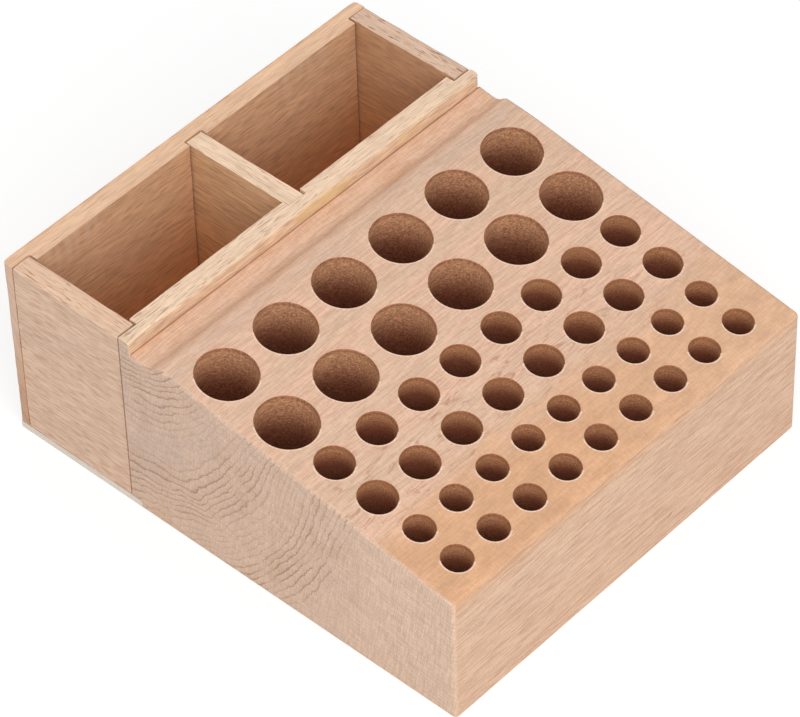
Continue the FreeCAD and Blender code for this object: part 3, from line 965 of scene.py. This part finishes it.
def housed_board(name, low, high, inner_side, shape):
    """A long board with rebates at its ends and a groove near its middle, open at the top."""
    board = add_sheet(name, low, high, 2)
    seat, play = shape.divider_seat, shape.divider_play
    if inner_side > 0:
        shoulder = high.y - shape.housing_depth
        groove_foot = DIVIDER_LOW.y - seat
        groove_low, groove_high = DIVIDER_LOW.x - seat, DIVIDER_HIGH.x + play
    else:
        shoulder = low.y + shape.housing_depth
        groove_foot = DIVIDER_HIGH.y + seat
        groove_low, groove_high = DIVIDER_LOW.x - play, DIVIDER_HIGH.x + seat
    spans = [
        (low.x, low.x + shape.rebate_width),
        (groove_low, groove_high),
        (high.x - shape.rebate_width, high.x),
    ]
    cut_all((0, shoulder, 0), (0, 1, 0))
    for x in (spans[0][1], groove_low, groove_high, spans[2][0]):
        cut_all((x, 0, 0), (1, 0, 0))
    cut_all((0, groove_foot, 0), (0, 1, 0))

    def housed(face):
        middle = face.calc_center_median()
        foot = groove_foot if groove_low < middle.x < groove_high else shoulder
        inside = (middle.y - foot) * inner_side > 0
        return inside and any(start < middle.x < end for start, end in spans)

    pick(board, "FACE", housed)
    bpy.ops.mesh.delete(type="FACE")
    merge_flat()
    bpy.ops.mesh.select_all(action="SELECT")
    bpy.ops.mesh.extrude_region_move(TRANSFORM_OT_translate={"value": (0, 0, high.z - low.z)})
    face_outwards()
    return board


def is_sharp(edge):
    """Is this an edge between two faces that meet at an angle?"""
    return len(edge.link_faces) == 2 and edge.calc_face_angle(0) > math.radians(30)


def ease(piece, sides, offset):
    """Round the edges that lie on two of a board's sides, each given as an axis and the side's place."""
    def wanted(edge):
        return all(on_side(edge, axis, place) for axis, place in sides)

    pick(piece, "EDGE", wanted)
    bevel(offset, 4)


def finish_board(piece, node, shape, still=()):
    """Soften a board's other edges and let them wander, apart from the sides that stay still."""
    def wanted(edge):
        return is_sharp(edge) and sum(on_side(edge, axis, place) for axis, place in still) < 2

    pick(piece, "EDGE", wanted)
    bevel(shape.soft_edge, 2)
    wander(piece, *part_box(node), shape, still)
    smooth(piece)


class CADDY_OT_long_boards(Operator):
    """Model the front and back boards of the box"""

    bl_idname = "caddy.long_boards"
    bl_label = "Front and back boards"

    def execute(self, context):
        shape = context.scene.caddy_shape
        look = context.scene.caddy_finish
        front = housed_board("front", FRONT_LOW, FRONT_HIGH, 1, shape)
        ease(front, [(0, FRONT_HIGH.x), (1, FRONT_LOW.y)], shape.corner_ease)
        ease(front, [(2, FRONT_HIGH.z), (1, FRONT_LOW.y)], shape.board_ease)
        groove = [(0, DIVIDER_LOW.x - shape.divider_seat), (1, DIVIDER_LOW.y - shape.divider_seat)]
        finish_board(front, "front_board", shape, [(0, FRONT_LOW.x), (1, FRONT_LOW.y)] + groove)
        material = board_finish(
            look, "front_board_beech", 0, (0, 0, 0),
            (look.board_yellow, look.board_cream, look.inside), 0.68, [(1, 1)], (glue_stain, ringed_ends),
        )
        hand_over(front, "front_board", "caddy", "board_beech", material)
        back = housed_board("back", BACK_LOW, BACK_HIGH, -1, shape)
        for x in (BACK_LOW.x, BACK_HIGH.x):
            ease(back, [(0, x), (1, BACK_HIGH.y)], shape.edge_ease)
        ease(back, [(2, BACK_HIGH.z), (1, BACK_HIGH.y)], shape.board_ease)
        finish_board(back, "back_board", shape)
        material = board_finish(
            look, "back_board_beech", 0, (40, 13, 5),
            (look.board, look.board_pink, look.inside), 0.3, [(1, -1)], (chatter_marks, brown_ends),
        )
        hand_over(back, "back_board", "caddy", "board_beech", material)
        return {"FINISHED"}


class CADDY_OT_end_boards(Operator):
    """Model the two end boards of the box"""

    bl_idname = "caddy.end_boards"
    bl_label = "End boards"

    def execute(self, context):
        shape = context.scene.caddy_shape
        look = context.scene.caddy_finish
        # the inside colours are painted shade, darker on the right end board
        sides = (
            ("left", 1, look.board_tan, look.inside, 0.75),
            ("right", -1, look.board_grey, look.inside_right_painted_shade, 1.0),
        )
        for side, inwards, top, inside, flecks in sides:
            node = side + "_end_board"
            low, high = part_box(node)
            material = board_finish(
                look, node + "_beech", math.pi / 2, (31 * inwards, 7, 3),
                (look.board, top, inside), flecks, [(0, inwards)],
            )
            board = add_slab(side + "_end", low + Vector((0, shape.joint_gap, 0)), high)
            edit(board)
            outer = low.x if inwards > 0 else high.x
            ease(board, [(2, high.z), (0, outer)], shape.board_ease)
            finish_board(board, node, shape)
            hand_over(board, node, "caddy", "end_board_beech", material)
        return {"FINISHED"}


class CADDY_OT_divider(Operator):
    """Model the loose divider"""

    bl_idname = "caddy.divider"
    bl_label = "Divider"

    def execute(self, context):
        shape = context.scene.caddy_shape
        look = context.scene.caddy_finish
        board = add_slab("divider", DIVIDER_LOW, DIVIDER_HIGH)
        edit(board)
        finish_board(board, "divider_board", shape, [(0, DIVIDER_LOW.x), (1, DIVIDER_LOW.y)])
        # the divider's faces get the lighter copy of the painted inner shade
        material = board_finish(
            look, "divider_beech", math.pi / 2, (5, 19, 11),
            (look.board, look.board_cream, look.inside_lighter_shade), 0.55, [(0, 1), (0, -1)],
        )
        hand_over(board, "divider_board", "divider", "divider_beech", material)
        return {"FINISHED"}


class CADDY_OT_bottom_panel(Operator):
    """Model the thin panel under the box"""

    bl_idname = "caddy.bottom_panel"
    bl_label = "Bottom panel"

    def execute(self, context):
        shape = context.scene.caddy_shape
        look = context.scene.caddy_finish
        low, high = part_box("bottom_panel")
        panel = add_slab("panel", low, high)
        edit(panel)
        pick(panel, "EDGE", lambda edge: on_side(edge, 1, high.y))
        bevel(shape.edge_ease, 4)
        pick(panel, "EDGE", is_sharp)
        bevel(shape.soft_edge / 2, 2)
        leave_edit_mode()
        keep_inside(panel, low, high)
        smooth(panel)
        hand_over(panel, "bottom_panel", "caddy", "panel_board", panel_finish(look))
        return {"FINISHED"}


class CADDY_OT_stage(Operator):
    """Set up the floor, the light and the camera"""

    bl_idname = "caddy.stage"
    bl_label = "Stage"

    def execute(self, context):
        stage = context.scene.caddy_stage
        self.floor(stage)
        self.sky(context.scene, stage)
        self.lamp(context.scene, stage)
        self.camera(context.scene, stage)
        context.scene.view_settings.view_transform = "Standard"
        return {"FINISHED"}

    def floor(self, stage):
        """A wide pale floor that is white to the camera, apart from the caddy's shadow."""
        leave_edit_mode()
        bpy.ops.mesh.primitive_plane_add(size=stage.floor_size, location=(0, 0, -NEAR))
        floor = bpy.context.object
        floor.name = "floor"
        apply_place(floor)
        finish = Finish("floor_white")
        seen = finish.step("LightPath", {}, output="Is Camera Ray")
        for ray in ("Is Glossy Ray", "Is Transmission Ray"):
            seen = finish.maths("MAXIMUM", seen, finish.step("LightPath", {}, output=ray))
        inputs = finish.shader.inputs
        inputs["Roughness"].default_value = 0.9
        inputs["Specular IOR Level"].default_value = 0.0
        inputs["Emission Color"].default_value = (1, 1, 1, 1)
        finish.put(finish.mix(seen, stage.floor, stage.floor_seen), inputs["Base Color"])
        finish.put(seen * stage.floor_glow, inputs["Emission Strength"])
        floor.data.materials.append(finish.material)

    def sky(self, scene, stage):
        """Even white light from all round, plain white where the camera sees it."""
        world = bpy.data.worlds.new("studio")
        scene.world = world
        world.use_nodes = True
        tree = world.node_tree
        background = tree.nodes["Background"]
        background.inputs["Color"].default_value = (1, 1, 1, 1)
        path = tree.nodes.new("ShaderNodeLightPath")
        seen = tree.nodes.new("ShaderNodeMapRange")
        tree.links.new(path.outputs["Is Camera Ray"], seen.inputs["Value"])
        seen.inputs["To Min"].default_value = stage.sky
        seen.inputs["To Max"].default_value = 1.0
        tree.links.new(seen.outputs[0], background.inputs["Strength"])

    def lamp(self, scene, stage):
        """One large soft lamp on the camera's side."""
        light = bpy.data.lights.new("softbox", "AREA")
        light.energy = stage.lamp
        light.size = stage.lamp_size
        lamp = bpy.data.objects.new("softbox", light)
        scene.collection.objects.link(lamp)
        lamp.location = stage.lamp_place
        lamp.rotation_euler = (-Vector(lamp.location)).to_track_quat("-Z", "Y").to_euler()

    def camera(self, scene, stage):
        """The camera at the photograph's viewing angle."""
        data = bpy.data.cameras.new("camera")
        data.lens = stage.lens
        data.sensor_width = 36
        camera = bpy.data.objects.new("camera", data)
        scene.collection.objects.link(camera)
        level = math.cos(stage.elevation)
        back = Vector((
            math.sin(stage.azimuth) * level,
            -math.cos(stage.azimuth) * level,
            math.sin(stage.elevation),
        ))
        camera.location = Vector(stage.aim) + back * stage.distance
        facing = (-back).to_track_quat("-Z", "Y") @ Quaternion((0, 0, 1), stage.roll)
        camera.rotation_euler = facing.to_euler()
        scene.camera = camera


class CADDY_PT_sidebar(Panel):
    """Lists the caddy's pieces and sizes"""

    bl_idname = "CADDY_PT_sidebar"
    bl_label = "Beech tool caddy"
    bl_space_type = "VIEW_3D"
    bl_region_type = "UI"
    bl_category = "Caddy"

    def draw(self, context):
        for operator in OPERATORS:
            self.layout.operator(operator.bl_idname)
        for name, group in GROUPS.items():
            box = self.layout.box()
            for field in group.__annotations__:
                box.prop(getattr(context.scene, name), field)


GROUPS = {"caddy_shape": CaddyShape, "caddy_finish": CaddyFinish, "caddy_stage": CaddyStage}
OPERATORS = (
    CADDY_OT_tool_block,
    CADDY_OT_long_boards,
    CADDY_OT_end_boards,
    CADDY_OT_divider,
    CADDY_OT_bottom_panel,
    CADDY_OT_stage,
)


def register():
    for group in GROUPS.values():
        bpy.utils.register_class(group)
    for operator in OPERATORS:
        bpy.utils.register_class(operator)
    bpy.utils.register_class(CADDY_PT_sidebar)
    for name, group in GROUPS.items():
        setattr(bpy.types.Scene, name, PointerProperty(type=group))


def unregister():
    for name in GROUPS:
        delattr(bpy.types.Scene, name)
    bpy.utils.unregister_class(CADDY_PT_sidebar)
    for operator in reversed(OPERATORS):
        bpy.utils.unregister_class(operator)
    for group in reversed(GROUPS.values()):
        bpy.utils.unregister_class(group)


def main():
    register()
    bpy.ops.caddy.tool_block()
    bpy.ops.caddy.long_boards()
    bpy.ops.caddy.end_boards()
    bpy.ops.caddy.divider()
    bpy.ops.caddy.bottom_panel()
    bpy.ops.caddy.stage()


if __name__ == "__main__":
    main()
